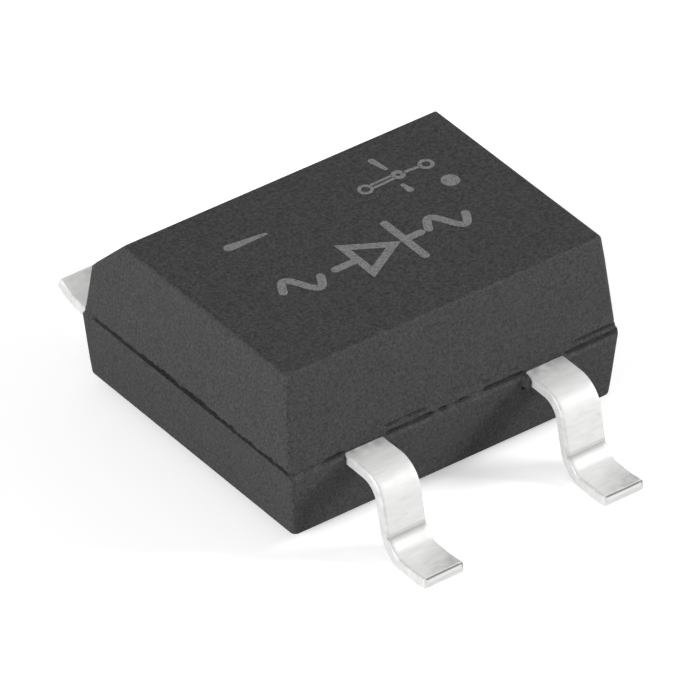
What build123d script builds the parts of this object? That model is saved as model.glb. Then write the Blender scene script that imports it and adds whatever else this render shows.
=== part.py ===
"""Four-lead surface-mount bridge rectifier: a moulded block with four gull-wing leads.

X runs along the block, Y across it from the two alternating-current leads (-Y) to the
minus and plus leads (+Y), Z up. The feet stand on Z = 0 and the origin is the middle of
the footprint. All sizes are in millimetres.
"""
from build123d import *
import math
import os

# Moulded block, measured at the parting plane where its two halves meet
body_length = 4.65
body_width = 3.92
upper_height = 1.27
lower_height = 0.87
lower_step = 0.05
standoff = 0.155
upper_end_draft = 4.4
upper_side_draft = 7.2
lower_end_draft = 5.4
lower_side_draft = 3.8
corner_radius = 0.07
bevel_width = 0.51
bevel_depth = 0.51
edge_radius = 0.045
recess_diameter = 2.20
recess_depth = 0.03
flash_reach = 0.02
flash_thickness = 0.04

# Leads, stamped from strip and bent outside the block
lead_pitch = 2.54
lead_width = 0.55
lead_thickness = 0.14
lead_edge_radius = 0.025
lead_span = 6.88
foot_length = 0.56
heel_facet = 0.26
heel_slope = 48.0
leg_lean = 12.0
shoulder_radius = 0.32
crease_radius = 0.12
heel_radius = 0.25
toe_length = 0.20
toe_lift = 0.02
toe_radius = 0.80

# Pads and strips of the lead frame inside the block
anchor_length = 0.30
jog_run = 0.32
pad_wall = 0.45
minus_pad_width = 1.40
pad_gap = 0.25
pad_margin = 0.10
strip_width = 0.60
strip_margin = 0.05

# Diode dies, in two rows, soldered below to a pad and above to a strip
die_size = 0.85
die_thickness = 0.22
die_row_offset = 0.62
solder_thickness = 0.03
solder_margin = 0.05

# Heights and places that follow from the sizes above
parting_z = standoff + lower_height
lead_mid_z = parting_z - lead_thickness / 2
foot_mid_z = lead_thickness / 2
die_stack = die_thickness + 2 * solder_thickness
strip_mid_z = parting_z + die_stack + lead_thickness / 2
anchor_y = body_width / 2 - anchor_length
jog_end_y = anchor_y - jog_run
pad_outer_x = body_length / 2 - pad_wall
minus_pad_inner_x = minus_pad_width - pad_outer_x
plus_pad_inner_x = minus_pad_inner_x + pad_gap
pad_half_y = die_row_offset + die_size / 2 + pad_margin
minus_die_x = (minus_pad_inner_x - pad_outer_x) / 2
plus_die_x = plus_pad_inner_x + pad_margin + die_size / 2
strip_start_x = minus_die_x - die_size / 2 - strip_margin
near_strip_end_x = plus_die_x + die_size / 2 + strip_margin


def block_between(low, high):
    """A box given by its lowest and highest corners."""
    size = [b - a for a, b in zip(low, high)]
    middle = [(a + b) / 2 for a, b in zip(low, high)]
    return Pos(*middle) * Box(*size)


def inset(height, draft):
    """How far a wall of the given height leans in at the given draft angle."""
    return height * math.tan(math.radians(draft))


def moulded_half(width, height, end_draft, side_draft, direction):
    """One half of the block, narrowing away from the parting plane, with rounded corners."""
    shorter = body_length - 2 * inset(height, end_draft)
    narrower = width - 2 * inset(height, side_draft)
    wide_end = Plane.XY.offset(parting_z) * Rectangle(body_length, width)
    narrow_end = Plane.XY.offset(parting_z + direction * height) * Rectangle(shorter, narrower)
    half = loft([wide_end, narrow_end])
    corners = [edge for edge in half.edges() if edge.bounding_box().size.Z > height / 2]
    return fillet(corners, corner_radius)


def polarity_bevel():
    """The wedge that is missing along the top edge of the minus and plus side."""
    top_z = parting_z + upper_height
    top_y = body_width / 2 - inset(upper_height, upper_side_draft)
    slope = bevel_depth / bevel_width
    beyond = 2 * bevel_width
    wedge = Plane.YZ.offset(-body_length) * make_face(
        Polyline(
            (top_y - bevel_width - beyond, top_z + slope * beyond),
            (top_y + beyond, top_z + slope * beyond),
            (top_y + beyond, top_z - bevel_depth - slope * beyond),
            close=True,
        )
    )
    return extrude(wedge, amount=2 * body_length)


def moulded_block():
    """The outer form of the block, with its flash line and the round mark below.

    The lower half stands out a step beyond the upper half on the two sides with leads.
    """
    upper = moulded_half(body_width, upper_height, upper_end_draft, upper_side_draft, 1)
    upper = upper - polarity_bevel()
    rims = [edge for edge in upper.edges() if edge.bounding_box().min.Z > parting_z + edge_radius]
    upper = fillet(rims, edge_radius)
    lower_width = body_width + 2 * lower_step
    lower = moulded_half(lower_width, lower_height, lower_end_draft, lower_side_draft, -1)
    lower = fillet(lower.faces().sort_by(Axis.Z)[0].edges(), edge_radius)
    flash = Plane.XY.offset(parting_z) * RectangleRounded(
        body_length + 2 * flash_reach,
        body_width + 2 * flash_reach,
        corner_radius + flash_reach,
    )
    recess = Pos(0, 0, standoff + recess_depth / 2) * Cylinder(recess_diameter / 2, recess_depth)
    return upper + lower + extrude(flash, amount=flash_thickness) - recess


def outer_lead(x, side):
    """The bent strip from its anchor in the block to its toe, on the +Y or -Y side.

    The leg is creased where the heel's short facet begins, and the facet rounds into the foot.
    The strip's upper edges are rounded, as the punch leaves them, and its lower edges are sharp.
    """
    heel_y = lead_span / 2 - foot_length
    crease_y = heel_y - heel_facet * math.cos(math.radians(heel_slope))
    crease_z = foot_mid_z + heel_facet * math.sin(math.radians(heel_slope))
    shoulder_y = crease_y - (lead_mid_z - crease_z) * math.tan(math.radians(leg_lean))
    toe_y = lead_span / 2 - toe_length
    route = [
        (anchor_y, lead_mid_z),
        (shoulder_y, lead_mid_z),
        (crease_y, crease_z),
        (heel_y, foot_mid_z),
        (toe_y, foot_mid_z),
        (lead_span / 2, foot_mid_z + toe_lift),
    ]
    points = [(x, side * y, z) for y, z in route]
    radii = [shoulder_radius, crease_radius, heel_radius, toe_radius]
    path = FilletPolyline(*points, radius=radii)
    strip = Plane(origin=points[0], x_dir=(1, 0, 0), z_dir=(0, side, 0)) * Rectangle(
        lead_width, lead_thickness
    )
    punched_edges = strip.vertices().sort_by(Axis.Z)[-2:]
    return sweep(fillet(punched_edges, lead_edge_radius), path=path)


def flat_strip(low_x, high_x, low_y, high_y, middle_z):
    """A flat area of the lead frame, one strip thickness high."""
    half = lead_thickness / 2
    return block_between((low_x, low_y, middle_z - half), (high_x, high_y, middle_z + half))


def rising_strip(x):
    """The jog that lifts an alternating-current lead to the level of the upper strips."""
    half = lead_thickness / 2
    rise = strip_mid_z - lead_mid_z
    mitre = half * math.tan(math.atan2(rise, jog_run) / 2)
    profile = Plane.YZ.offset(x - lead_width / 2) * make_face(
        Polyline(
            (-anchor_y, lead_mid_z - half),
            (-anchor_y + mitre, lead_mid_z - half),
            (-jog_end_y + mitre, strip_mid_z - half),
            (-jog_end_y + mitre, strip_mid_z + half),
            (-jog_end_y - mitre, strip_mid_z + half),
            (-anchor_y - mitre, lead_mid_z + half),
            (-anchor_y - mitre, lead_mid_z - half),
            close=True,
        )
    )
    return extrude(profile, amount=lead_width)


def polarity_lead(x, inner_x, outer_x):
    """A minus or plus lead with the pad that carries its two dies."""
    half = lead_width / 2
    pad = flat_strip(inner_x, outer_x, -pad_half_y, pad_half_y, lead_mid_z)
    neck = flat_strip(x - half, x + half, pad_half_y, anchor_y, lead_mid_z)
    return outer_lead(x, 1) + neck + pad


def ac_lead(x, low_x, high_x, row_y):
    """An alternating-current lead with the strip that lies over one row of dies."""
    half = lead_width / 2
    strip = flat_strip(low_x, high_x, row_y - strip_width / 2, row_y + strip_width / 2, strip_mid_z)
    tail = flat_strip(x - half, x + half, -jog_end_y, row_y, strip_mid_z)
    return outer_lead(x, -1) + rising_strip(x) + tail + strip


def die_layer(x, y, margin, low_z, thickness):
    """One square layer of a die stack: the die itself or the solder below or above it."""
    half = die_size / 2 - margin
    return block_between((x - half, y - half, low_z), (x + half, y + half, low_z + thickness))


left_x = -lead_pitch / 2
right_x = lead_pitch / 2
parts = {
    "minus_lead": polarity_lead(left_x, -pad_outer_x, minus_pad_inner_x),
    "plus_lead": polarity_lead(right_x, plus_pad_inner_x, pad_outer_x),
    "ac_lead_left": ac_lead(left_x, strip_start_x, near_strip_end_x, -die_row_offset),
    "ac_lead_right": ac_lead(right_x, strip_start_x, right_x + lead_width / 2, die_row_offset),
}
for pad, die_x in (("minus", minus_die_x), ("plus", plus_die_x)):
    for row, die_y in (("near", -die_row_offset), ("far", die_row_offset)):
        die_z = parting_z + solder_thickness
        over_z = die_z + die_thickness
        parts[f"{pad}_{row}_die"] = die_layer(die_x, die_y, 0, die_z, die_thickness)
        parts[f"{pad}_{row}_solder_below"] = die_layer(
            die_x, die_y, solder_margin, parting_z, solder_thickness
        )
        parts[f"{pad}_{row}_solder_above"] = die_layer(
            die_x, die_y, solder_margin, over_z, solder_thickness
        )

body = moulded_block()
for piece in list(parts.values()):
    body = body - piece
parts["moulded_body"] = body

os.makedirs("parts", exist_ok=True)
for name, piece in parts.items():
    export_step(piece, f"parts/{name}.step")
    print(name, round(piece.volume, 4))
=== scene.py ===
"""Finish of a small surface-mount bridge rectifier: moulded block, plated leads and marks.

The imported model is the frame, in metres. X runs along the block, Y across it from the
alternating-current leads (-Y) to the minus and plus leads (+Y), and Z up from the feet.
"""
import math

import bmesh
import bpy
from bpy.props import FloatProperty, FloatVectorProperty, PointerProperty
from mathutils import Matrix, Vector, noise


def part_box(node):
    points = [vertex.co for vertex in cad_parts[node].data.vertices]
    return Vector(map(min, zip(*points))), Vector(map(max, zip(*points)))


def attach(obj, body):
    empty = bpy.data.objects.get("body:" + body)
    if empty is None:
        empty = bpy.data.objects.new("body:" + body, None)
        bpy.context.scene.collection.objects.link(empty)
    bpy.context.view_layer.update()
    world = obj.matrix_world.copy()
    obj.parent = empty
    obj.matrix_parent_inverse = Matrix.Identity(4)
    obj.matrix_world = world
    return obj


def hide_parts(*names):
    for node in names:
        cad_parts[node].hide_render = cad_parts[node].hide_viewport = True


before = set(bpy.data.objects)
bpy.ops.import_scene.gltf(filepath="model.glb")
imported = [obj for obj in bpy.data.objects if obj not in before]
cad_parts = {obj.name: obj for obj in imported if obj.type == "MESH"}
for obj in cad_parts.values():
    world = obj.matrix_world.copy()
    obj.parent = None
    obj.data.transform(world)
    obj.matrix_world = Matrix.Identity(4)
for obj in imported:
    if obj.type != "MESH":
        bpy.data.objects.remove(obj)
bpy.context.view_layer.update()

bl_info = {
    "name": "Bridge rectifier finish",
    "version": (1, 0, 0),
    "blender": (4, 5, 0),
    "location": "3D View > Sidebar > Rectifier",
    "description": "Models the outside of a four-lead bridge rectifier around its solids",
    "category": "Object",
}

MM = 0.001
BODY = "root"

block_low, block_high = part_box("moulded_body")
_, lead_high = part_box("minus_lead")
# The block's halves meet level with the top of the leads' straight strips.
PARTING_Z = lead_high.z
# Half the lead pitch.
LEAD_X = 1.27 * MM
LEADS = {"minus_lead": 1, "plus_lead": 1, "ac_lead_left": -1, "ac_lead_right": -1}
# Edges that turn by more than this are drawn sharp.
SHARP_ANGLE = math.radians(32)
# Without a seed the unevenness of the leads would differ in every run.
NOISE_SEED = 7

# How open the seam is, 0 shut to 1 open, by place in millimetres: along X on the side with the
# alternating-current leads, and along Y on the two ends.
NEAR_SEAM = (
    (-2.33, 0.25), (-2.10, 0.10), (-2.04, 0.45), (-1.85, 0.45), (-1.72, 1.0), (-1.50, 1.0),
    (-0.97, 0.6), (-0.92, 1.0), (-0.62, 0.75), (-0.42, 1.0), (-0.31, 0.9), (-0.28, 0.05),
    (-0.25, 0.05), (-0.22, 0.85), (-0.11, 0.8), (-0.085, 0.1), (-0.05, 0.1), (-0.02, 0.7),
    (0.10, 0.9), (0.17, 0.75), (0.20, 0.1), (0.38, 0.15), (0.42, 1.0), (0.70, 0.9),
    (1.05, 1.0), (1.50, 1.0), (1.62, 0.8), (1.95, 0.95), (2.18, 1.0), (2.33, 0.8),
)
END_SEAM = (
    (-1.96, 0.55), (-1.85, 0.75), (-1.50, 0.80), (-0.90, 0.75), (-0.60, 0.95), (0.0, 1.1),
    (0.55, 1.15), (0.80, 0.9), (1.40, 0.8), (1.70, 0.7), (1.82, 0.2), (1.96, 0.0),
)
# How deep the thin second line above the seam is, by place along X on the same side. The other
# side has it mirrored.
UPPER_SEAM = (
    (-2.33, 0.0), (-1.00, 0.0), (-0.94, 0.8), (-0.80, 1.0), (-0.74, 0.1), (-0.70, 0.1),
    (-0.66, 0.9), (-0.46, 1.0), (-0.38, 0.0), (0.38, 0.0), (0.44, 0.5), (0.56, 0.0),
    (1.60, 0.0), (1.68, 0.5), (1.85, 1.0), (2.33, 1.0),
)
# The seam is nearly shut up to LEAD_EDGE from a lead's middle and opens over the next LEAD_FADE,
# in millimetres. Its edges are all but straight up to LEAD_ZONE.
LEAD_EDGE, LEAD_FADE = 0.27, 0.03
LEAD_ZONE = 0.29 * MM
# How much more unevenly the seam broke off on the ends.
END_RAGGED = 3.2
# How high the flash at one corner reaches before it has faded out.
FLARE_HEIGHT = 0.18 * MM
# Where the noise that tears the seam's lower and upper edge is read.
LOWER_NOISE, UPPER_NOISE = Vector((3.1, 0, 0)), Vector((0, 0, 5.7))
# The scrap of epoxy beside the right near lead and the hole below it, in millimetres: place and
# width along X, their lower ends, and how far the one stands out and the other reaches in.
WEB_X, WEB_WIDTH = 0.968, 0.028
WEB_FOOT, HOLE_FOOT = -0.14, -0.18
WEB_REACH, HOLE_DEPTH = 0.13, 0.07


def linear(code):
    """The linear colour of an sRGB hex value."""
    channels = [int(code[i:i + 2], 16) / 255 for i in (0, 2, 4)]
    return [c / 12.92 if c <= 0.04045 else ((c + 0.055) / 1.055) ** 2.4 for c in channels]


def length(label, about, millimetres):
    """A property for one length, given in millimetres."""
    return FloatProperty(
        name=label, description=about, default=millimetres * MM, min=0.0, unit="LENGTH", precision=6
    )


def degrees(label, about, value):
    """A property for one angle, given in degrees."""
    return FloatProperty(
        name=label, description=about, default=math.radians(value), subtype="ANGLE"
    )


def colour(label, about, code):
    """A property for one colour, given as an sRGB hex value."""
    return FloatVectorProperty(
        name=label, description=about, default=linear(code), subtype="COLOR", size=3,
        min=0.0, max=1.0,
    )


class BlockSettings(bpy.types.PropertyGroup):
    """Sizes and colours of the moulded block."""

    flash_reach: length("Flash reach", "How far the thin flash stands out of the upper half", 0.02)
    lower_step: length("Lower step", "How far the lower half's sides with leads stand out", 0.05)
    corner_radius: length("Corner radius", "Radius of the four upright corners", 0.07)
    edge_radius: length("Bottom edge radius", "Radius of the bottom edges", 0.045)
    end_edge_radius: length("End edge radius", "Radius of the two short edges of the top", 0.062)
    side_edge_radius: length("Side edge radius", "Radius of the long edges of the top", 0.035)
    bevel_edge_radius: length("Bevel edge radius", "Radius of the edge below the bevel", 0.40)
    upper_end_inset: length("Upper end inset", "How far the upper end walls lean in", 0.0977)
    upper_side_inset: length("Upper side inset", "How far the upper side walls lean in", 0.1604)
    lower_end_inset: length("Lower end inset", "How far the lower end walls lean in", 0.0822)
    lower_side_inset: length("Lower side inset", "How far the lower side walls lean in", 0.0578)
    bevel_size: length("Bevel size", "Width and depth of the bevel on the polarity side", 0.51)
    recess_radius: length("Recess radius", "Radius of the round mark on the underside", 1.10)
    recess_depth: length("Recess depth", "Depth of the round mark on the underside", 0.03)
    groove_depth: length("Groove depth", "Depth of the seam between the two halves", 0.060)
    seam_opening: length("Seam opening", "Height of the open seam on the sides", 0.049)
    end_seam_opening: length("End seam opening", "Height of the open seam on the ends", 0.062)
    land_reach: length("Land reach", "How far the lip above the seam stands out", 0.014)
    ragged: length("Raggedness", "How unevenly the edges of the seam broke off", 0.012)
    column_width: length("Column width", "Spacing of the mesh round the block", 0.032)
    grain: length("Grain", "Size of the matte grain left by the mould", 0.030)
    base: colour("Epoxy", "Colour of the moulding compound", "1d1d1e")
    pale: colour("Epoxy filler", "Colour where the filler shows", "4b4b4c")


class LeadSettings(bpy.types.PropertyGroup):
    """Sizes and colours of the plated leads."""

    thickness: length("Thickness", "Thickness of the strip", 0.14)
    width: length("Width", "Width of the strip", 0.55)
    anchor: length("Anchor", "Length of straight strip inside the block", 0.30)
    foot_length: length("Foot length", "From the heel's corner to the toe", 0.56)
    heel_facet: length("Heel facet", "Length of the facet between the crease and the foot", 0.26)
    shoulder_radius: length("Shoulder radius", "Bend radius of the shoulder at mid-thickness", 0.32)
    crease_radius: length("Crease radius", "Bend radius of the crease above the heel", 0.12)
    crease_depth: length("Crease depth", "Depth of the line pressed into the crease", 0.014)
    crease_width: length("Crease width", "Width of the line pressed into the crease", 0.055)
    heel_radius: length("Heel radius", "Bend radius of the heel at mid-thickness", 0.25)
    toe_length: length("Toe length", "Length of the toe that turns up", 0.20)
    toe_lift: length("Toe lift", "How far the toe turns up", 0.02)
    toe_radius: length("Toe radius", "Bend radius where the toe turns up", 0.80)
    minus_reach: length("Minus reach", "How much further the foot of the minus lead reaches", 0.10)
    minus_lift: length("Minus lift", "How much more the toe of the minus lead turns up", 0.11)
    die_roll: length("Die roll", "Radius of the upper edges, rounded by the punch", 0.035)
    burr_edge: length("Burr edge", "Radius of the lower edges", 0.015)
    lean: degrees("Lean", "Lean of the leg from upright", 12)
    heel_slope: degrees("Heel slope", "Slope of the heel's facet", 48)
    step: length("Step", "Spacing of the mesh along the strip", 0.03)
    tin: colour("Tin", "Colour of the plating", "f3f3f2")
    # The colour of the painted shade in the crease, along the rims and side faces, by the wall, on
    # the foot and at the toe.
    painted_shade: colour("Painted shade", "Colour of the plating at creases and rims", "8f8f8e")
    dull: colour("Dull tin", "Colour of the plating where it is duller", "e8e8e7")


class MarkSettings(bpy.types.PropertyGroup):
    """Sizes and colour of the laser marks."""

    stroke: length("Stroke", "Width of a broad stroke", 0.105)
    fine_stroke: length("Fine stroke", "Width of a fine stroke", 0.05)
    height: length("Height", "How far a mark stands on the surface", 0.0015)
    sunk: length("Sunk", "How deep a mark reaches into the surface", 0.012)
    tone: colour("Mark", "Colour of the laser-marked epoxy", "838382")


class StageSettings(bpy.types.PropertyGroup):
    """Camera, lamps and floor."""

    azimuth: degrees("Azimuth", "Camera direction", -36.72)
    elevation: degrees("Elevation", "Camera height", 36.22)
    roll: degrees("Roll", "Camera roll", -0.12)
    distance: length("Distance", "Camera to object", 130.0)
    picture: length("Picture", "Width of the picture at the object", 7.95)
    floor: colour("Floor", "Colour of the floor", "f4f4f4")
    lamp_power: FloatProperty(
        name="Lamp power", description="Watts of a lamp whose share is 1", default=0.018
    )


def new_piece(name, bm, slot, material, *nodes):
    """Turns a finished bmesh into a piece that rides on the part."""
    mesh = bpy.data.meshes.new(name)
    bm.to_mesh(mesh)
    bm.free()
    mesh.shade_smooth()
    mesh.set_sharp_from_angle(angle=SHARP_ANGLE)
    mesh.materials.append(material)
    piece = bpy.data.objects.new(name, mesh)
    bpy.context.scene.collection.objects.link(piece)
    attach(piece, BODY)
    if nodes:
        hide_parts(*nodes)
    return piece


def connect(tree, links, target):
    """Links sockets to a node's inputs, each given by its name or number."""
    for name, source in links.items():
        tree.links.new(source, target.inputs[name])


def node(tree, kind, links=None, **settings):
    """Adds a node, sets its inputs or options by name, and links its inputs."""
    made = tree.nodes.new(kind)
    for name, value in settings.items():
        if hasattr(made, name):
            setattr(made, name, value)
        else:
            made.inputs[name.replace("_", " ").title()].default_value = value
    connect(tree, links or {}, made)
    return made


def blank_material(name):
    """A material with its output, its shader and its object coordinates."""
    material = bpy.data.materials.new(name)
    material.use_nodes = True
    tree = material.node_tree
    tree.nodes.clear()
    shader = node(tree, "ShaderNodeBsdfPrincipled")
    node(tree, "ShaderNodeOutputMaterial", {"Surface": shader.outputs["BSDF"]})
    place = node(tree, "ShaderNodeTexCoord").outputs["Object"]
    return material, tree, shader, place


def blend_colours(tree, factor, first, second):
    """Mixes two colours by a factor socket."""
    mix = node(tree, "ShaderNodeMix", data_type="RGBA")
    tree.links.new(factor, mix.inputs[0])
    mix.inputs[6].default_value = (*first, 1)
    mix.inputs[7].default_value = (*second, 1)
    return mix.outputs[2]


def ranged(tree, value, low, high, to_low, to_high):
    """Maps a value socket from one range to another."""
    return node(
        tree, "ShaderNodeMapRange", {"Value": value},
        from_min=low, from_max=high, to_min=to_low, to_max=to_high,
    ).outputs["Result"]


def grains(tree, place, size, detail, **settings):
    """Noise with grains of the given size."""
    return node(
        tree, "ShaderNodeTexNoise", {"Vector": place}, scale=1 / size, detail=detail, **settings
    ).outputs["Fac"]


def bumped(tree, height, strength, distance, under=None):
    """The normals that a height socket gives, on top of those of an earlier bump."""
    links = {"Height": height} if under is None else {"Height": height, "Normal": under}
    bump = node(tree, "ShaderNodeBump", links, strength=strength, distance=distance)
    return bump.outputs["Normal"]


def epoxy_material(name, base, pale, grain):
    """Silica-filled epoxy, transfer moulded in a spark-eroded die: dry, finely pitted charcoal."""
    material, tree, shader, place = blank_material(name)
    pits = grains(tree, place, grain, 3.0, roughness=0.6)
    cloud = grains(tree, place, 12 * grain, 2.0)
    speck = node(tree, "ShaderNodeTexVoronoi", {"Vector": place}, scale=1 / (2.2 * grain))
    tint = ranged(tree, pits, 0.3, 0.75, 0.0, 1.0)
    fine = bumped(tree, pits, 0.42, grain / 9)
    connect(tree, {
        "Base Color": blend_colours(tree, tint, base, pale),
        "Roughness": ranged(tree, cloud, 0.3, 0.7, 0.70, 0.78),
        "Normal": bumped(tree, speck.outputs["Distance"], 0.25, grain / 12, fine),
    }, shader)
    return material


def tin_material(name, tin, dull, painted_shade):
    """Matte tin electroplated on copper strip: a silvery white, dry grain with faint wiping."""
    material, tree, shader, place = blank_material(name)
    shader.inputs["Metallic"].default_value = 0.15
    crystals = grains(tree, place, 0.016 * MM, 3.0)
    across = node(tree, "ShaderNodeVectorMath", {0: place}, operation="MULTIPLY")
    across.inputs[1].default_value = (0.22, 1, 1)
    scuffs = grains(tree, across.outputs[0], 0.045 * MM, 3.0, roughness=0.6)
    wear = ranged(tree, scuffs, 0.35, 0.75, 0.0, 1.0)
    plating = blend_colours(tree, wear, tin, dull)
    # Painted shade: a per-vertex attribute darkens the plating towards the shade colour in the
    # crease, along the rims and side faces, by the wall, on the foot and at the toe.
    painted_shade_share = node(tree, "ShaderNodeAttribute", attribute_name="painted_shade").outputs["Fac"]
    shaded_plating = node(tree, "ShaderNodeMix", {6: plating, 0: painted_shade_share}, data_type="RGBA")
    shaded_plating.inputs[7].default_value = (*painted_shade, 1)
    grainy = bumped(tree, crystals, 0.5, 0.002 * MM)
    connect(tree, {
        "Base Color": shaded_plating.outputs[2],
        "Roughness": ranged(tree, scuffs, 0.3, 0.7, 0.35, 0.46),
        "Normal": bumped(tree, scuffs, 0.2, 0.003 * MM, grainy),
    }, shader)
    return material


def mark_material(name, tone, epoxy):
    """Epoxy burnt by a marking laser: pale, dry and broken up where the filler stayed dark."""
    material, tree, shader, place = blank_material(name)
    shader.inputs["Roughness"].default_value = 0.85
    specks = grains(tree, place, 0.022 * MM, 4.0, roughness=0.7)
    missing = ranged(tree, specks, 0.45, 0.70, 0.0, 0.75)
    connect(tree, {
        "Base Color": blend_colours(tree, missing, tone, epoxy),
        "Normal": bumped(tree, specks, 0.6, 0.004 * MM),
    }, shader)
    return material


def silicon_material(name):
    """Sawn and lapped silicon: a dark blue-grey with a dull mirror sheen."""
    material, tree, shader, place = blank_material(name)
    shader.inputs["Metallic"].default_value = 0.6
    lapping = grains(tree, place, 0.05 * MM, 3.0)
    connect(tree, {
        "Base Color": blend_colours(tree, lapping, linear("2c3038"), linear("4a5059")),
        "Roughness": ranged(tree, lapping, 0.3, 0.7, 0.22, 0.34),
    }, shader)
    return material


def solder_material(name):
    """Reflowed solder: a grey metal that froze with a faintly rippled skin."""
    material, tree, shader, place = blank_material(name)
    shader.inputs["Metallic"].default_value = 1.0
    ripple = grains(tree, place, 0.09 * MM, 2.0)
    connect(tree, {
        "Base Color": blend_colours(tree, ripple, linear("8d9093"), linear("c3c6c8")),
        "Roughness": ranged(tree, ripple, 0.3, 0.7, 0.28, 0.42),
        "Normal": bumped(tree, ripple, 0.4, 0.004 * MM),
    }, shader)
    return material


def ring_of(bm):
    """The edges of the outline that a new shape starts from, once its face is taken away."""
    bmesh.ops.delete(bm, geom=bm.faces[:], context="FACES_ONLY")
    return bm.edges[:]


def next_ring(bm, edges):
    """Extrudes a ring of edges in place and returns the new ring's edges and vertices."""
    made = bmesh.ops.extrude_edge_only(bm, edges=edges)["geom"]
    verts = [g for g in made if isinstance(g, bmesh.types.BMVert)]
    kept = set(verts)
    new_edges = [g for g in made if isinstance(g, bmesh.types.BMEdge) and kept.issuperset(g.verts)]
    return new_edges, verts


def round_corners(bm, corners, radius, segments):
    """Rounds corners of a flat outline."""
    bmesh.ops.bevel(
        bm, geom=corners, offset=radius, offset_type="OFFSET", affect="VERTICES",
        segments=segments, profile=0.5, material=-1,
    )


class BlockOutline:
    """Where a point of the block's outline lies once the walls have leaned in."""

    def __init__(self, half_x, half_y, radius):
        self.core = (half_x - radius, half_y - radius)

    def normal(self, x, y):
        """The outward direction at a point of the outline at the parting plane."""
        past = [math.copysign(max(abs(v) - c, 0.0), v) for v, c in zip((x, y), self.core)]
        return Vector((*past, 0.0)).normalized()

    def leaned(self, x, y, insets):
        """The point moved in by an inset for X and one for Y; the corners keep their radius."""
        moved = []
        for value, core, inset in zip((x, y), self.core, insets):
            if abs(value) <= core:
                moved.append(value * (core - inset) / core)
            else:
                moved.append(math.copysign(abs(value) - inset, value))
        return moved


def between(table, x):
    """The value of a table of pairs at x, on straight lines between its entries."""
    for (x0, value0), (x1, value1) in zip(table, table[1:]):
        if x < x1:
            return value0 + (value1 - value0) * max(x - x0, 0.0) / (x1 - x0)
    return table[-1][1]


def seam_openness(x, y, direction):
    """How open the seam is at a point of the outline: 0 where it is bridged, 1 where it is open."""
    if abs(direction.x) > 0.7:
        return between(END_SEAM, y / MM)
    from_lead = abs(abs(x) - LEAD_X) / MM
    over_lead = min(max((from_lead - LEAD_EDGE) / LEAD_FADE, 0.12), 1.0)
    if direction.y > 0:
        return over_lead * min(max(0.7 + noise.noise(Vector((x, y, 0)) / MM * 1.7), 0.2), 1.0)
    return over_lead * between(NEAR_SEAM, x / MM)


def dam_bar_web(x, height):
    """How far the scrap of epoxy stands out, or the hole below it reaches in; x, height in mm."""
    beside = math.exp(-((x - WEB_X) / WEB_WIDTH) ** 2)
    if height > WEB_FOOT:
        return WEB_REACH * MM * beside
    return -HOLE_DEPTH * MM * beside if height > HOLE_FOOT else 0.0


def seam_shift(kind, height, x, y, direction, settings):
    """How far the wall's plain form moves outwards and upwards at one point of the seam."""
    side = direction.y ** 2
    end = 1 - side
    at = Vector((x, y, 0)) / MM
    lower = noise.noise(at * 3.1 + LOWER_NOISE) + 0.8 * noise.noise(at * 9.0)
    upper = noise.noise(at * 2.2 + UPPER_NOISE) + 0.7 * noise.noise(at * 7.0 + UPPER_NOISE)
    lower += end * noise.noise(at * 16.0)
    upper += end * noise.noise(at * 14.0 + UPPER_NOISE)
    openness = seam_openness(x, y, direction)
    shut = (1 - openness) * (settings.seam_opening * side + settings.end_seam_opening * end)
    rough = settings.ragged * (side + END_RAGGED * end)
    rise, drop = 0.5 * rough * lower, 0.7 * rough * upper
    if side > 0.5 and abs(abs(x) - LEAD_X) < LEAD_ZONE:
        rise, drop = 0.0, 0.2 * drop
    flare = 0.0
    if direction.x < -0.1 and direction.y > 0.1 and height > 0:
        flare = settings.flash_reach * max(1 - height / FLARE_HEIGHT, 0.0) ** 2
    deep = -settings.groove_depth * openness * (0.9 + 0.3 * lower)
    web = dam_bar_web(at.x, height / MM) if direction.y < -0.5 else 0.0
    if kind == "lip":
        return settings.ragged * lower * (1.0 if height > 0 else 0.3) + web, rise
    if kind == "groove_floor":
        return deep + flare, rise + 0.25 * shut
    if kind == "groove_roof":
        return deep + flare, drop - 0.75 * shut
    if kind == "land":
        return settings.land_reach * side * (0.7 + 0.9 * upper) + flare, drop - 0.75 * shut
    if kind == "upper_groove":
        fading = between(UPPER_SEAM, at.x if direction.y < 0 else -at.x)
        return -0.6 * settings.groove_depth * side * fading + flare, drop
    if kind == "web":
        return web, 0.0
    return flare, 0.0


# The seam's rings: height in millimetres above the parting plane on the sides with leads and on the
# ends, the share of the lower half's step that is left there, and the part of the seam.
SEAM = (
    *((height, height, 1.0, "web") for height in (-0.205, -0.175, -0.155, -0.135, -0.105)),
    (-0.075, -0.060, 1.0, "web"),
    (-0.050, -0.010, 1.0, "lip"), (-0.040, 0.010, 0.85, "lip"), (-0.014, 0.022, 0.30, "lip"),
    (-0.006, 0.026, 0.15, "groove_floor"), (0.043, 0.088, 0.0, "groove_roof"),
    (0.048, 0.092, 0.0, "land"), (0.098, 0.100, 0.0, "land"),
    (0.103, 0.103, 0.0, "upper_groove"), (0.118, 0.107, 0.0, "upper_groove"),
    (0.128, 0.140, 0.0, None), (0.170, 0.170, 0.0, None),
)
ROUNDING = tuple(math.radians(angle) for angle in (90, 72, 54, 36, 18, 4))
# The rings of the edge of the recess: how far each spreads and drops, in thirds of its depth.
RECESS_RINGS = ((0.2, 0.3), (0.5, 1.8), (1.2, 2.6), (2.4, 3.0))


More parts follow.
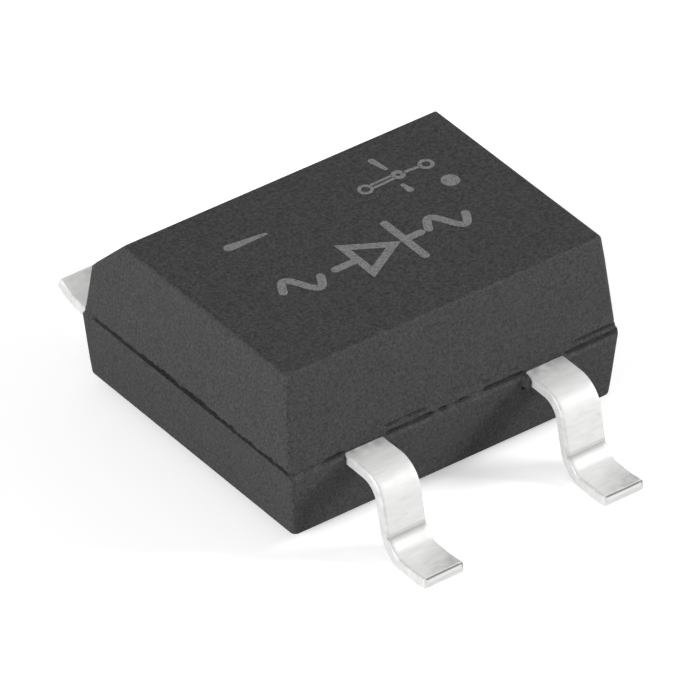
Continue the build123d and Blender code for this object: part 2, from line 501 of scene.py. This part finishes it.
def wall_stations(settings):
    """The rings of the wall from the bottom edge up.

    Each has its height on the sides and on the ends, its insets for X and Y, and its seam part.
    """
    top, bottom = block_high.z - PARTING_Z, block_low.z - PARTING_Z
    end_top, side_top = settings.upper_end_inset, settings.upper_side_inset
    end_bottom, side_bottom = settings.lower_end_inset, settings.lower_side_inset
    radius, step = settings.edge_radius, settings.lower_step
    stations = []
    for angle in ROUNDING:
        into, height = radius * (1 - math.cos(angle)), bottom + radius * (1 - math.sin(angle))
        stations.append((height, height, (end_bottom + into, side_bottom - step + into), None))
    for share in (0.75, 0.5, 0.25):
        height = bottom * share
        stations.append((height, height, (end_bottom * share, side_bottom * share - step), None))
    for side, end, stepped, kind in SEAM:
        side, end = side * MM, end * MM
        end_inset = end_top * end / top if end > 0 else end_bottom * end / bottom
        side_inset = side_top * side / top if side > 0 else side_bottom * side / bottom
        stations.append((side, end, (end_inset, side_inset - step * stepped), kind))
    for share in (0.25, 0.5, 0.75):
        stations.append((top * share, top * share, (end_top * share, side_top * share), None))
    wide, narrow = settings.end_edge_radius, settings.side_edge_radius
    for angle in reversed(ROUNDING):
        along, up = 1 - math.cos(angle), 1 - math.sin(angle)
        insets = (end_top + wide * along, side_top + narrow * along)
        stations.append((top - narrow * up, top - wide * up, insets, None))
    return stations


def cut_off(bm, point, normal):
    """Cuts away what lies beyond a plane and closes the cut."""
    geometry = bm.verts[:] + bm.edges[:] + bm.faces[:]
    cut = bmesh.ops.bisect_plane(
        bm, geom=geometry, dist=1e-9, plane_co=point, plane_no=normal, clear_outer=True
    )["geom_cut"]
    edges = [g for g in cut if isinstance(g, bmesh.types.BMEdge)]
    bmesh.ops.holes_fill(bm, edges=edges, sides=0)


def round_between(bm, first, second, radius, steps=4):
    """Rounds the edge between two planes, each a point and a unit normal, by tangent cuts."""
    (p, n), (q, m) = first, second
    along = n.cross(m).normalized()
    rows = Matrix((n, m, along))
    centre = rows.inverted() @ Vector((n.dot(p) - radius, m.dot(q) - radius, along.dot(p)))
    for i in range(1, steps):
        direction = n.slerp(m, i / steps)
        cut_off(bm, centre + radius * direction, direction)


def upper_half(settings):
    """Half the length and half the width of the upper half at the parting plane."""
    return block_high.x - settings.flash_reach, block_high.y - settings.lower_step


def add_bevel(bm, settings):
    """Cuts the bevel along the top edge of the polarity side and rounds its edges."""
    half_x, half_y = upper_half(settings)
    height = block_high.z - PARTING_Z
    top = (Vector((0, 0, block_high.z)), Vector((0, 0, 1)))
    leaning = Vector((0, height, settings.upper_side_inset)).normalized()
    side = (Vector((0, half_y, PARTING_Z)), leaning)
    edge_y = half_y - settings.upper_side_inset - settings.bevel_size
    bevel = (Vector((0, edge_y, block_high.z)), Vector((0, 1, 1)).normalized())
    cut_off(bm, *bevel)
    round_between(bm, top, bevel, settings.side_edge_radius)
    round_between(bm, bevel, side, settings.bevel_edge_radius)
    for direction in (-1, 1):
        normal = Vector((direction * height, 0, settings.upper_end_inset)).normalized()
        end = (Vector((direction * half_x, 0, PARTING_Z)), normal)
        round_between(bm, bevel, end, settings.end_edge_radius)


def add_underside(bm, ring, settings):
    """Closes the bottom with a flat face round a shallow circular recess."""
    made = bmesh.ops.create_circle(bm, cap_ends=True, radius=settings.recess_radius, segments=128)
    floor_z = block_low.z + settings.recess_depth
    verts = made["verts"]
    bmesh.ops.translate(bm, verts=verts, vec=(0, 0, floor_z))
    edges = list({e for v in verts for e in v.link_edges})
    softness = settings.recess_depth / 3
    for spread, drop in RECESS_RINGS:
        edges, verts = next_ring(bm, edges)
        scale = 1 + spread * softness / settings.recess_radius
        for v in verts:
            v.co = Vector((v.co.x * scale, v.co.y * scale, floor_z - drop * softness))
    bmesh.ops.triangle_fill(bm, edges=edges + ring, use_beauty=True)


def block_mesh(settings):
    """The whole outside of the block, from the underside's recess to the bevel."""
    half_x, half_y = upper_half(settings)
    outline = BlockOutline(half_x, half_y, settings.corner_radius)
    bm = bmesh.new()
    bmesh.ops.create_grid(bm, x_segments=1, y_segments=1, size=1)
    bmesh.ops.scale(bm, verts=bm.verts, vec=(half_x, half_y, 1))
    round_corners(bm, bm.verts[:], settings.corner_radius, 8)
    ring = ring_of(bm)
    for long_side in [e for e in ring if e.calc_length() > 4 * settings.corner_radius]:
        cuts = round(long_side.calc_length() / settings.column_width)
        bmesh.ops.subdivide_edges(bm, edges=[long_side], cuts=cuts)
    ring = bm.edges[:]
    plan = bm.verts.layers.float_vector.new("plan")
    for v in bm.verts:
        v[plan] = v.co
    bottom_ring = ring
    for number, (side_height, end_height, insets, kind) in enumerate(wall_stations(settings)):
        if number:
            ring, verts = next_ring(bm, ring)
        else:
            verts = bm.verts[:]
        for v in verts:
            x, y, _ = v[plan]
            direction = outline.normal(x, y)
            share = direction.y ** 2
            outwards, upwards = seam_shift(kind, end_height, x, y, direction, settings)
            height = side_height * share + end_height * (1 - share) + upwards
            place = Vector((*outline.leaned(x, y, insets), PARTING_Z + height))
            v.co = place + direction * outwards
    bmesh.ops.edgeloop_fill(bm, edges=ring)
    add_underside(bm, bottom_ring, settings)
    add_bevel(bm, settings)
    bmesh.ops.recalc_face_normals(bm, faces=bm.faces)
    return bm


class RECTIFIER_OT_block(bpy.types.Operator):
    """Model the moulded block with its seam, bevel and round mark"""

    bl_idname = "rectifier.block"
    bl_label = "Moulded block"

    def execute(self, context):
        settings = context.scene.rectifier_block
        material = epoxy_material("moulded_epoxy", settings.base, settings.pale, settings.grain)
        piece = new_piece(
            "epoxy_block", block_mesh(settings), "moulding_compound", material, "moulded_body"
        )
        piece.modifiers.new("flat_faces", "WEIGHTED_NORMAL").keep_sharp = True
        return {"FINISHED"}


def strip_section(bm, settings):
    """A ring across the strip, upright in XZ: punch-rounded above, sharper below."""
    bmesh.ops.create_grid(bm, x_segments=1, y_segments=1, size=0.5)
    bmesh.ops.scale(bm, verts=bm.verts, vec=(settings.width, settings.thickness, 1))
    for sign, radius in ((1, settings.die_roll), (-1, settings.burr_edge)):
        corners = [v for v in bm.verts if v.co.y * sign > 0 and len(v.link_edges) == 2]
        round_corners(bm, corners, radius, 4)
    ring = ring_of(bm)
    for side in [e for e in ring if e.calc_length() > settings.thickness]:
        bmesh.ops.subdivide_edges(bm, edges=[side], cuts=14)
    upright = Matrix.Rotation(math.pi / 2, 3, "X")
    bmesh.ops.rotate(bm, verts=bm.verts, cent=(0, 0, 0), matrix=upright)
    return bm.edges[:]


# The press tool's groove: shares of its depth that are reached and of its width travelled.
GROOVE_STEPS = ((0.0, 0.15), (0.7, 0.2), (1.0, 0.15), (1.0, 0.15), (0.7, 0.15), (0.0, 0.2))
# The rings of the sheared toe: how far each goes forward and draws in, in its small radius.
TOE_STEPS = ((0.6, 0.15), (0.4, 0.6), (0.0, 0.5), (-0.8, 0.8), (0.0, 3.0), (0.8, 0.6))


class StripBender:
    """Carries a section along Y and Z by runs and bends, as the lead is bent."""

    def __init__(self, bm, ring, place, step):
        self.bm, self.ring, self.place, self.step = bm, ring, place, step
        self.angle = 0.0

    def heading(self):
        """The direction of travel."""
        return Vector((0, math.cos(self.angle), math.sin(self.angle)))

    def up(self):
        """The direction in which the strip's upper face looks."""
        return Vector((0, -math.sin(self.angle), math.cos(self.angle)))

    def run(self, distance):
        """A straight stretch."""
        steps = max(1, round(distance / self.step))
        move = self.heading() * distance / steps
        for _ in range(steps):
            self.ring, verts = next_ring(self.bm, self.ring)
            bmesh.ops.translate(self.bm, verts=verts, vec=move)
            self.place = self.place + move

    def bend(self, radius, turn):
        """An arc; a positive turn bends upwards."""
        side = self.up() * math.copysign(radius, turn)
        centre = self.place + side
        steps = max(2, math.ceil(radius * abs(turn) / (0.6 * self.step)))
        verts = list({v for e in self.ring for v in e.verts})
        last = bmesh.ops.spin(
            self.bm, geom=verts + self.ring, cent=centre, axis=(1, 0, 0), angle=turn, steps=steps,
            use_merge=False, use_normal_flip=False, use_duplicate=False,
        )["geom_last"]
        self.ring = [g for g in last if isinstance(g, bmesh.types.BMEdge)]
        self.place = centre - Matrix.Rotation(turn, 3, "X") @ side
        self.angle += turn

    def score(self, depth, width):
        """A narrow groove across the upper face, with the edge of the press tool."""
        up = self.up()
        before = 0.0
        for sunk, forward in GROOVE_STEPS:
            self.ring, verts = next_ring(self.bm, self.ring)
            self.place = self.place + self.heading() * width * forward
            for v in verts:
                v.co += self.heading() * width * forward
                if up.dot(v.co - self.place) > 0:
                    v.co -= up * depth * (sunk - before)
            before = sunk


def outer_strip(settings, x, side, reach, lift):
    """The bent strip of one lead, from its anchor in the block to its toe."""
    bm = bmesh.new()
    ring = strip_section(bm, settings)
    half = settings.thickness / 2
    wall_y = upper_half(bpy.context.scene.rectifier_block)[1]
    toe_y = lead_high.y - half * settings.toe_lift / settings.toe_length
    middle_z, foot_z = PARTING_Z - half, half
    turn = math.pi / 2 - settings.lean
    crease_turn = turn - settings.heel_slope
    toe_length, toe_lift = settings.toe_length + reach, settings.toe_lift + lift
    toe_turn = math.atan2(toe_lift, toe_length)
    at_shoulder = settings.shoulder_radius * math.tan(turn / 2)
    at_crease = settings.crease_radius * math.tan(crease_turn / 2)
    at_crease += settings.crease_width / 2 / math.cos(crease_turn / 2)
    at_heel = settings.heel_radius * math.tan(settings.heel_slope / 2)
    at_toe = settings.toe_radius * math.tan(toe_turn / 2)
    crease_y = toe_y - settings.foot_length - settings.heel_facet * math.cos(settings.heel_slope)
    heel_rise = settings.heel_facet * math.sin(settings.heel_slope)
    drop = middle_z - foot_z - heel_rise
    shoulder_y = crease_y - drop * math.tan(settings.lean)
    start = Vector((x, wall_y - settings.anchor, middle_z))
    bmesh.ops.translate(bm, verts=bm.verts, vec=start)
    strip = StripBender(bm, ring, start, settings.step)
    strip.run(shoulder_y - at_shoulder - start.y)
    strip.bend(settings.shoulder_radius, -turn)
    strip.run(drop / math.cos(settings.lean) - at_shoulder - at_crease)
    strip.bend(settings.crease_radius, crease_turn / 2)
    strip.score(settings.crease_depth, settings.crease_width)
    strip.bend(settings.crease_radius, crease_turn / 2)
    strip.run(settings.heel_facet - at_crease - at_heel)
    strip.bend(settings.heel_radius, settings.heel_slope)
    strip.run(settings.foot_length - settings.toe_length - at_heel - at_toe)
    strip.bend(settings.toe_radius, toe_turn)
    strip.run(math.hypot(toe_length, toe_lift) - at_toe - settings.burr_edge / 2)
    close_toe(bm, strip, settings)
    add_painted_shade(bm, x, wall_y, Vector((0, crease_y, foot_z + heel_rise)), settings)
    roughen(bm, wall_y)
    if side < 0:
        bmesh.ops.scale(bm, verts=bm.verts, vec=(1, -1, 1))
    bmesh.ops.recalc_face_normals(bm, faces=bm.faces)
    return bm


def close_toe(bm, strip, settings):
    """Ends the strip in its sheared face: a narrow rounding, then the line left by the cut."""
    small = settings.burr_edge / 2
    up = strip.up()
    gone = 0.0
    for forward, shrink in TOE_STEPS:
        strip.ring, verts = next_ring(bm, strip.ring)
        for v in verts:
            across, height = v.co.x - strip.place.x, up.dot(v.co - strip.place)
            if height > 0 or 0 <= forward < 1:
                v.co += strip.heading() * small * forward
            v.co.x -= across * small * shrink / (settings.width / 2 - gone)
            v.co -= up * height * small * shrink / (settings.thickness / 2 - gone)
        gone += small * shrink
    bmesh.ops.edgeloop_fill(bm, edges=strip.ring)


# Where shade is painted on the plating: what counts as on a side face, the punched rim, the
# crease's line and its dark core, the reach of the painted shade at the wall, and the foot's height
# and the reach of its painted shade.
ON_SIDE, RIM_START, RIM_END = 0.001 * MM, 0.0015 * MM, 0.03 * MM
CREASE_LINE, CREASE_CORE = 0.04 * MM, 0.01 * MM
WALL_SHADE_REACH, FOOT_HEIGHT, FOOT_SHADE_REACH = 0.27 * MM, 0.25 * MM, 0.42 * MM
# What counts as on the sheared end, and how far below its top the band of painted shade lies, in
# millimetres.
ON_END, SHEAR_TOP, SHEAR_BOTTOM = 0.022 * MM, 0.007, 0.040


def add_painted_shade(bm, x, wall_y, crease, settings):
    """Stores where shade is painted on the plating: in the crease, along the rims, by the wall, on
    the foot, at the toe.
    """
    layer = bm.verts.layers.float.new("painted_shade")
    end_y = max(v.co.y for v in bm.verts)
    toe_z = max(v.co.z for v in bm.verts if end_y - v.co.y < 0.1 * settings.toe_length)
    for v in bm.verts:
        patchy = 1 + 0.9 * noise.noise(v.co / MM * 7) + 1.1 * noise.noise(v.co / MM * 15)
        sideways = (v.co.x - x) / settings.width * 2
        rim = (1 - abs(sideways)) * settings.width / 2
        # Painted shade on the side faces and along the rims, stronger on the -X rims.
        value = 0.0 if rim > ON_SIDE else 0.12 * patchy
        if RIM_START < rim < RIM_END:
            value = (0.20 if sideways < 0 else 0.10) * patchy
        # Painted shade in the crease, darkest in its core.
        from_crease = (Vector((0, v.co.y, v.co.z)) - crease).length - settings.thickness / 2
        if abs(from_crease) < CREASE_LINE and v.co.y > crease.y and rim > ON_SIDE:
            value = max(value, 0.55 if from_crease < CREASE_CORE else 0.35)
        # Painted shade on the strip next to the block's wall, fading outwards.
        value = max(value, 0.45 * patchy * (1 - (v.co.y - wall_y) / WALL_SHADE_REACH))
        # Painted shade on the foot, darker towards the toe and on its +X side.
        if v.co.z < FOOT_HEIGHT:
            fading = 1 - (end_y - v.co.y) / FOOT_SHADE_REACH
            value = max(value, (0.28 + 0.32 * sideways) * patchy * fading)
        # Painted shade in a band just below the sheared toe's top edge; the rest of its end face is
        # barely darkened.
        if end_y - v.co.y < ON_END:
            down = (toe_z - v.co.z) / MM
            value = 1.0 if SHEAR_TOP < down < SHEAR_BOTTOM and sideways > -0.93 else 0.05
        v[layer] = min(value, 1.0)


def roughen(bm, wall_y):
    """Gives the strip outside the block the faint unevenness of bent and plated metal."""
    noise.seed_set(NOISE_SEED)
    for v in bm.verts:
        if v.co.y > wall_y:
            at = v.co / MM
            wave = noise.noise_vector(at * 2.2) * 0.0035 + noise.noise_vector(at * 9.0) * 0.0011
            fade = min((v.co.y - wall_y) / (0.1 * MM), 1.0)
            v.co += wave * MM * fade
            v.co.z = max(v.co.z, 0.0)


def inner_part(name, side, wall_y, anchor):
    """The pad, jog or strip that lies inside the block, cut from a copy of its solid."""
    bm = bmesh.new()
    bm.from_mesh(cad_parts[name].data)
    bmesh.ops.remove_doubles(bm, verts=bm.verts, dist=1e-7)
    cut_off(bm, Vector((0, side * (wall_y - anchor), 0)), Vector((0, side, 0)))
    return bm


class RECTIFIER_OT_leads(bpy.types.Operator):
    """Model the four plated gull-wing leads"""

    bl_idname = "rectifier.leads"
    bl_label = "Leads"

    def execute(self, context):
        settings = context.scene.rectifier_leads
        material = tin_material("matte_tin_plate", settings.tin, settings.dull, settings.painted_shade)
        wall_y = upper_half(context.scene.rectifier_block)[1]
        for name, side in LEADS.items():
            outward = [v.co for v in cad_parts[name].data.vertices if v.co.y * side > wall_y]
            x = sum(co.x for co in outward) / len(outward)
            bent = name == "minus_lead"
            reach, lift = bent * settings.minus_reach, bent * settings.minus_lift
            bm = outer_strip(settings, x, side, reach, lift)
            inside = inner_part(name, side, wall_y, settings.anchor)
            held = bpy.data.meshes.new("inner")
            inside.to_mesh(held)
            inside.free()
            bm.from_mesh(held)
            bpy.data.meshes.remove(held)
            new_piece(f"plated_{name}", bm, "tinned_lead_frame", material, name)
        return {"FINISHED"}


def ribbon(bm, points, widths):
    """A flat stroke along points, as wide at each point as its width says."""
    path = [Vector((*p, 0)) * MM for p in points]
    edges, before = [], []
    for i, (place, width) in enumerate(zip(path, widths)):
        along = (path[min(i + 1, len(path) - 1)] - path[max(i - 1, 0)]).normalized()
        across = Vector((-along.y, along.x, 0)) * width / 2
        if not before:
            before = [bm.verts.new(place - across), bm.verts.new(place + across)]
            edges = [bm.edges.new(before)]
            continue
        edges, verts = next_ring(bm, edges)
        verts.sort(key=lambda v: any(e.other_vert(v) == before[1] for e in v.link_edges))
        verts[0].co, verts[1].co = place - across, place + across
        before = verts


def stroke(bm, points, width, end_width=None, round_start=True, round_end=True):
    """A round-ended stroke that may narrow on its way; points in millimetres, widths in metres."""
    end_width = width if end_width is None else end_width
    cap = [math.radians(a) for a in (8, 25, 45, 65)]
    path = [Vector(p) for p in points]
    spans = [0.0]
    for a, b in zip(path, path[1:]):
        spans.append(spans[-1] + (b - a).length)
    widths = [width + (end_width - width) * span / spans[-1] for span in spans]
    if round_start:
        radius, back = width / 2, (path[0] - path[1]).normalized()
        path = [path[0] + back * radius / MM * math.cos(a) for a in cap] + path
        widths = [width * math.sin(a) for a in cap] + widths
    if round_end:
        radius, on = end_width / 2, (path[-1] - path[-2]).normalized()
        path += [path[-1] + on * radius / MM * math.cos(a) for a in reversed(cap)]
        widths += [end_width * math.sin(a) for a in reversed(cap)]
    ribbon(bm, [tuple(p) for p in path], widths)


def round_mark(bm, centre, radius, line=None, segments=28, turn=0.0):
    """A dot, or drawn with a line of the given width a ring or, with three segments, a triangle."""
    made = bmesh.ops.create_circle(bm, cap_ends=True, radius=radius, segments=segments)
    verts = made["verts"]
    bmesh.ops.rotate(bm, verts=verts, cent=(0, 0, 0), matrix=Matrix.Rotation(turn, 3, "Z"))
    bmesh.ops.translate(bm, verts=verts, vec=Vector((*centre, 0)) * MM)
    if line is not None:
        face = verts[0].link_faces[0]
        bmesh.ops.inset_region(
            bm, faces=[face], thickness=line, use_boundary=True, use_even_offset=True
        )
        bmesh.ops.delete(bm, geom=[face], context="FACES_ONLY")


def wave_points(centre, wide, high, steps=18):
    """The points of a wave sign."""
    cx, cy = centre
    turns = [i / steps for i in range(steps + 1)]
    return [(cx + wide * (t - 0.5), cy + high / 2 * math.sin(2 * math.pi * t)) for t in turns]


# The small rings in the plus sign, in millimetres: middle, radius and width of the line.
PLUS_RINGS = (
    ((0.62, 0.530), 0.095, 0.042), ((1.47, 0.518), 0.098, 0.046), ((1.09, 0.540), 0.085, 0.06),
)
# The strokes of the plus sign: both ends in millimetres, and the widths there in fine strokes.
PLUS_STROKES = (
    ((0.73, 0.565), (1.00, 0.570), 0.75, 0.75), ((0.73, 0.500), (1.00, 0.508), 0.75, 0.75),
    ((1.18, 0.540), (1.36, 0.526), 0.9, 0.9), ((1.010, 0.935), (1.045, 0.715), 1.8, 1.0),
    ((1.010, 0.352), (1.022, 0.225), 1.0, 1.8),
)
# The middle line of the row of signs, in millimetres.
ROW_Y = -0.51


def marks_mesh(settings):
    """All the marks on the top face: minus, plus, dot, two wave signs and a diode sign."""
    bm = bmesh.new()
    broad, fine = settings.stroke, settings.fine_stroke
    stroke(bm, [(-1.29, 0.545), (-1.22, 0.540), (-0.80, 0.518)], 2.5 * fine, 0.9 * fine)
    for centre, radius, line in PLUS_RINGS:
        round_mark(bm, centre, radius * MM, line * MM)
    for start, end, start_width, end_width in PLUS_STROKES:
        stroke(bm, [start, end], start_width * fine, end_width * fine)
    round_mark(bm, (1.500, 0.100), 0.112 * MM)
    for x in (-1.05, 0.99):
        stroke(bm, wave_points((x, ROW_Y), 0.52, 0.34), broad)
    round_mark(bm, (-0.10, ROW_Y), 0.44 * MM, broad, segments=3, turn=-math.pi / 2)
    stroke(bm, [(0.3925, ROW_Y - 0.38), (0.3925, ROW_Y + 0.38)], broad)
    stroke(bm, [(-0.58, ROW_Y), (-0.32, ROW_Y)], broad, round_end=False)
    stroke(bm, [(0.445, ROW_Y), (0.62, ROW_Y)], broad, round_start=False)
    faces = bm.faces[:]
    bmesh.ops.recalc_face_normals(bm, faces=faces)
    for face in faces:
        if face.normal.z < 0:
            face.normal_flip()
    bmesh.ops.translate(bm, verts=bm.verts, vec=(0, 0, block_high.z - settings.sunk))
    top = bmesh.ops.extrude_face_region(bm, geom=faces, use_keep_orig=True)["geom"]
    raised = [g for g in top if isinstance(g, bmesh.types.BMVert)]
    bmesh.ops.translate(bm, verts=raised, vec=(0, 0, settings.sunk + settings.height))
    bmesh.ops.recalc_face_normals(bm, faces=bm.faces)
    return bm


class RECTIFIER_OT_marks(bpy.types.Operator):
    """Lay the laser marks on the top face"""

    bl_idname = "rectifier.marks"
    bl_label = "Marks"

    def execute(self, context):
        settings = context.scene.rectifier_marks
        epoxy = context.scene.rectifier_block.base
        material = mark_material("laser_marked_epoxy", settings.tone, epoxy)
        new_piece("polarity_marks", marks_mesh(settings), "moulding_compound", material)
        return {"FINISHED"}


class RECTIFIER_OT_inner_parts(bpy.types.Operator):
    """Finish the dies and their solder inside the block"""

    bl_idname = "rectifier.inner_parts"
    bl_label = "Dies and solder"

    def execute(self, context):
        silicon, solder = silicon_material("lapped_silicon"), solder_material("reflowed_solder")
        for name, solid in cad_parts.items():
            if name.endswith("_die") or "_solder_" in name:
                solid.data.materials.clear()
                solid.data.materials.append(silicon if name.endswith("_die") else solder)
        return {"FINISHED"}


# Lamps: name, azimuth and elevation in degrees, distance and size in millimetres, power's share.
LAMPS = (
    ("front_right", 59, 27, 90, 22, 3.1),
    ("left", -85, 22, 100, 70, 4.6),
)
# The world as it lights and as it shows: two heights, and the brightness at each.
LIT = (0.0, 0.9, 0.0, 0.44)
SHOWN = (0.12, 0.60, 1.0, 0.08)
# The light that the floor adds to itself, for the camera alone.
FLOOR_LIFT = 0.45
# Half the floor's width, inside the lamps' reach. From very low its far edge shows grey.
FLOOR_SIZE = 85 * MM
# The height at which the camera aims, and its sensor's usual width.
AIM_HEIGHT = 0.625 * MM
SENSOR_WIDTH = 36.0


def seen_directly(tree):
    """1 for rays that show the background: camera, glossy and transmission rays."""
    rays = node(tree, "ShaderNodeLightPath").outputs
    seen = rays["Is Camera Ray"]
    for kind in ("Is Glossy Ray", "Is Transmission Ray"):
        links = {0: seen, 1: rays[kind]}
        seen = node(tree, "ShaderNodeMath", links, operation="MAXIMUM").outputs[0]
    return seen


def studio_world():
    """A pale tent: white near the horizon, greyer overhead."""
    world = bpy.data.worlds.new("studio")
    bpy.context.scene.world = world
    world.use_nodes = True
    tree = world.node_tree
    tree.nodes.clear()
    place = node(tree, "ShaderNodeTexCoord").outputs["Generated"]
    height = node(tree, "ShaderNodeSeparateXYZ", {"Vector": place}).outputs["Z"]
    shown, lit = (
        node(tree, "ShaderNodeBackground", {"Strength": ranged(tree, height, *brightness)})
        for brightness in (SHOWN, LIT)
    )
    mix = node(
        tree, "ShaderNodeMixShader",
        {0: seen_directly(tree), 1: lit.outputs[0], 2: shown.outputs[0]},
    )
    for background in (shown, lit):
        background.inputs["Color"].default_value = (1, 1, 1, 1)
    node(tree, "ShaderNodeOutputWorld", {"Surface": mix.outputs[0]})


def floor_material(tone):
    """Matte white card, lifted to white for the camera."""
    material, tree, shader, _ = blank_material("white_card")
    shader.inputs["Base Color"].default_value = (*tone, 1)
    shader.inputs["Roughness"].default_value = 0.9
    shader.inputs["Specular IOR Level"].default_value = 0.0
    shader.inputs["Emission Color"].default_value = (1, 1, 1, 1)
    by_camera = node(tree, "ShaderNodeLightPath").outputs["Is Camera Ray"]
    lift = ranged(tree, by_camera, 0.0, 1.0, 0.0, FLOOR_LIFT)
    connect(tree, {"Emission Strength": lift}, shader)
    return material


def towards(azimuth, elevation):
    """The direction in which a camera or lamp stands, seen from the object."""
    level = math.cos(elevation)
    return Vector((math.sin(azimuth) * level, -math.cos(azimuth) * level, math.sin(elevation)))


def add_lamp(name, azimuth, elevation, distance, size, power):
    """A square soft lamp that faces the object."""
    lamp = bpy.data.lights.new(name, "AREA")
    lamp.size = size * MM
    lamp.energy = power
    holder = bpy.data.objects.new(name, lamp)
    holder.visible_camera = False
    back = towards(math.radians(azimuth), math.radians(elevation))
    holder.location = back * distance * MM
    holder.rotation_euler = back.to_track_quat("Z", "Y").to_euler()
    bpy.context.scene.collection.objects.link(holder)


class RECTIFIER_OT_stage(bpy.types.Operator):
    """Set up the floor, the lamps and the camera"""

    bl_idname = "rectifier.stage"
    bl_label = "Stage"

    def execute(self, context):
        scene = context.scene
        settings = scene.rectifier_stage
        scene.view_settings.view_transform = "Standard"
        studio_world()
        bm = bmesh.new()
        bmesh.ops.create_grid(bm, x_segments=8, y_segments=8, size=FLOOR_SIZE)
        mesh = bpy.data.meshes.new("floor")
        bm.to_mesh(mesh)
        bm.free()
        mesh.materials.append(floor_material(settings.floor))
        floor = bpy.data.objects.new("floor", mesh)
        scene.collection.objects.link(floor)
        for name, azimuth, elevation, distance, size, share in LAMPS:
            add_lamp(name, azimuth, elevation, distance, size, share * settings.lamp_power)
        add_camera(scene, settings)
        return {"FINISHED"}


def add_camera(scene, settings):
    """The camera at the photograph's angle, with the part in the middle of the picture."""
    lens = bpy.data.cameras.new("camera")
    camera = bpy.data.objects.new("camera", lens)
    scene.collection.objects.link(camera)
    scene.camera = camera
    lens.sensor_width = SENSOR_WIDTH
    lens.lens = SENSOR_WIDTH * settings.distance / settings.picture
    lens.clip_start = settings.distance / 100
    lens.clip_end = 10.0
    back = towards(settings.azimuth, settings.elevation)
    target = Vector((0, 0, AIM_HEIGHT))
    facing = back.to_track_quat("Z", "Y").to_matrix().to_4x4()
    rolled = facing @ Matrix.Rotation(settings.roll, 4, "Z")
    camera.matrix_world = Matrix.Translation(target + back * settings.distance) @ rolled


class RECTIFIER_PT_panel(bpy.types.Panel):
    """Lists the pieces in the sidebar"""

    bl_label = "Bridge rectifier"
    bl_idname = "RECTIFIER_PT_panel"
    bl_space_type = "VIEW_3D"
    bl_region_type = "UI"
    bl_category = "Rectifier"

    def draw(self, context):
        for operator in OPERATORS:
            self.layout.operator(operator.bl_idname)
        for name in SETTINGS:
            group = getattr(context.scene, name)
            box = self.layout.box()
            for key in group.__annotations__:
                box.prop(group, key)


SETTINGS = {
    "rectifier_block": BlockSettings,
    "rectifier_leads": LeadSettings,
    "rectifier_marks": MarkSettings,
    "rectifier_stage": StageSettings,
}
OPERATORS = (
    RECTIFIER_OT_block,
    RECTIFIER_OT_leads,
    RECTIFIER_OT_marks,
    RECTIFIER_OT_inner_parts,
    RECTIFIER_OT_stage,
)
CLASSES = (*SETTINGS.values(), *OPERATORS, RECTIFIER_PT_panel)


def register():
    """Adds the classes and the settings to Blender."""
    for cls in CLASSES:
        bpy.utils.register_class(cls)
    for name, group in SETTINGS.items():
        setattr(bpy.types.Scene, name, PointerProperty(type=group))


def unregister():
    """Takes the settings and the classes away again."""
    for name in SETTINGS:
        delattr(bpy.types.Scene, name)
    for cls in reversed(CLASSES):
        bpy.utils.unregister_class(cls)


def main():
    """Builds every piece."""
    register()
    bpy.ops.rectifier.stage()
    bpy.ops.rectifier.block()
    bpy.ops.rectifier.leads()
    bpy.ops.rectifier.marks()
    bpy.ops.rectifier.inner_parts()


if __name__ == "__main__":
    main()
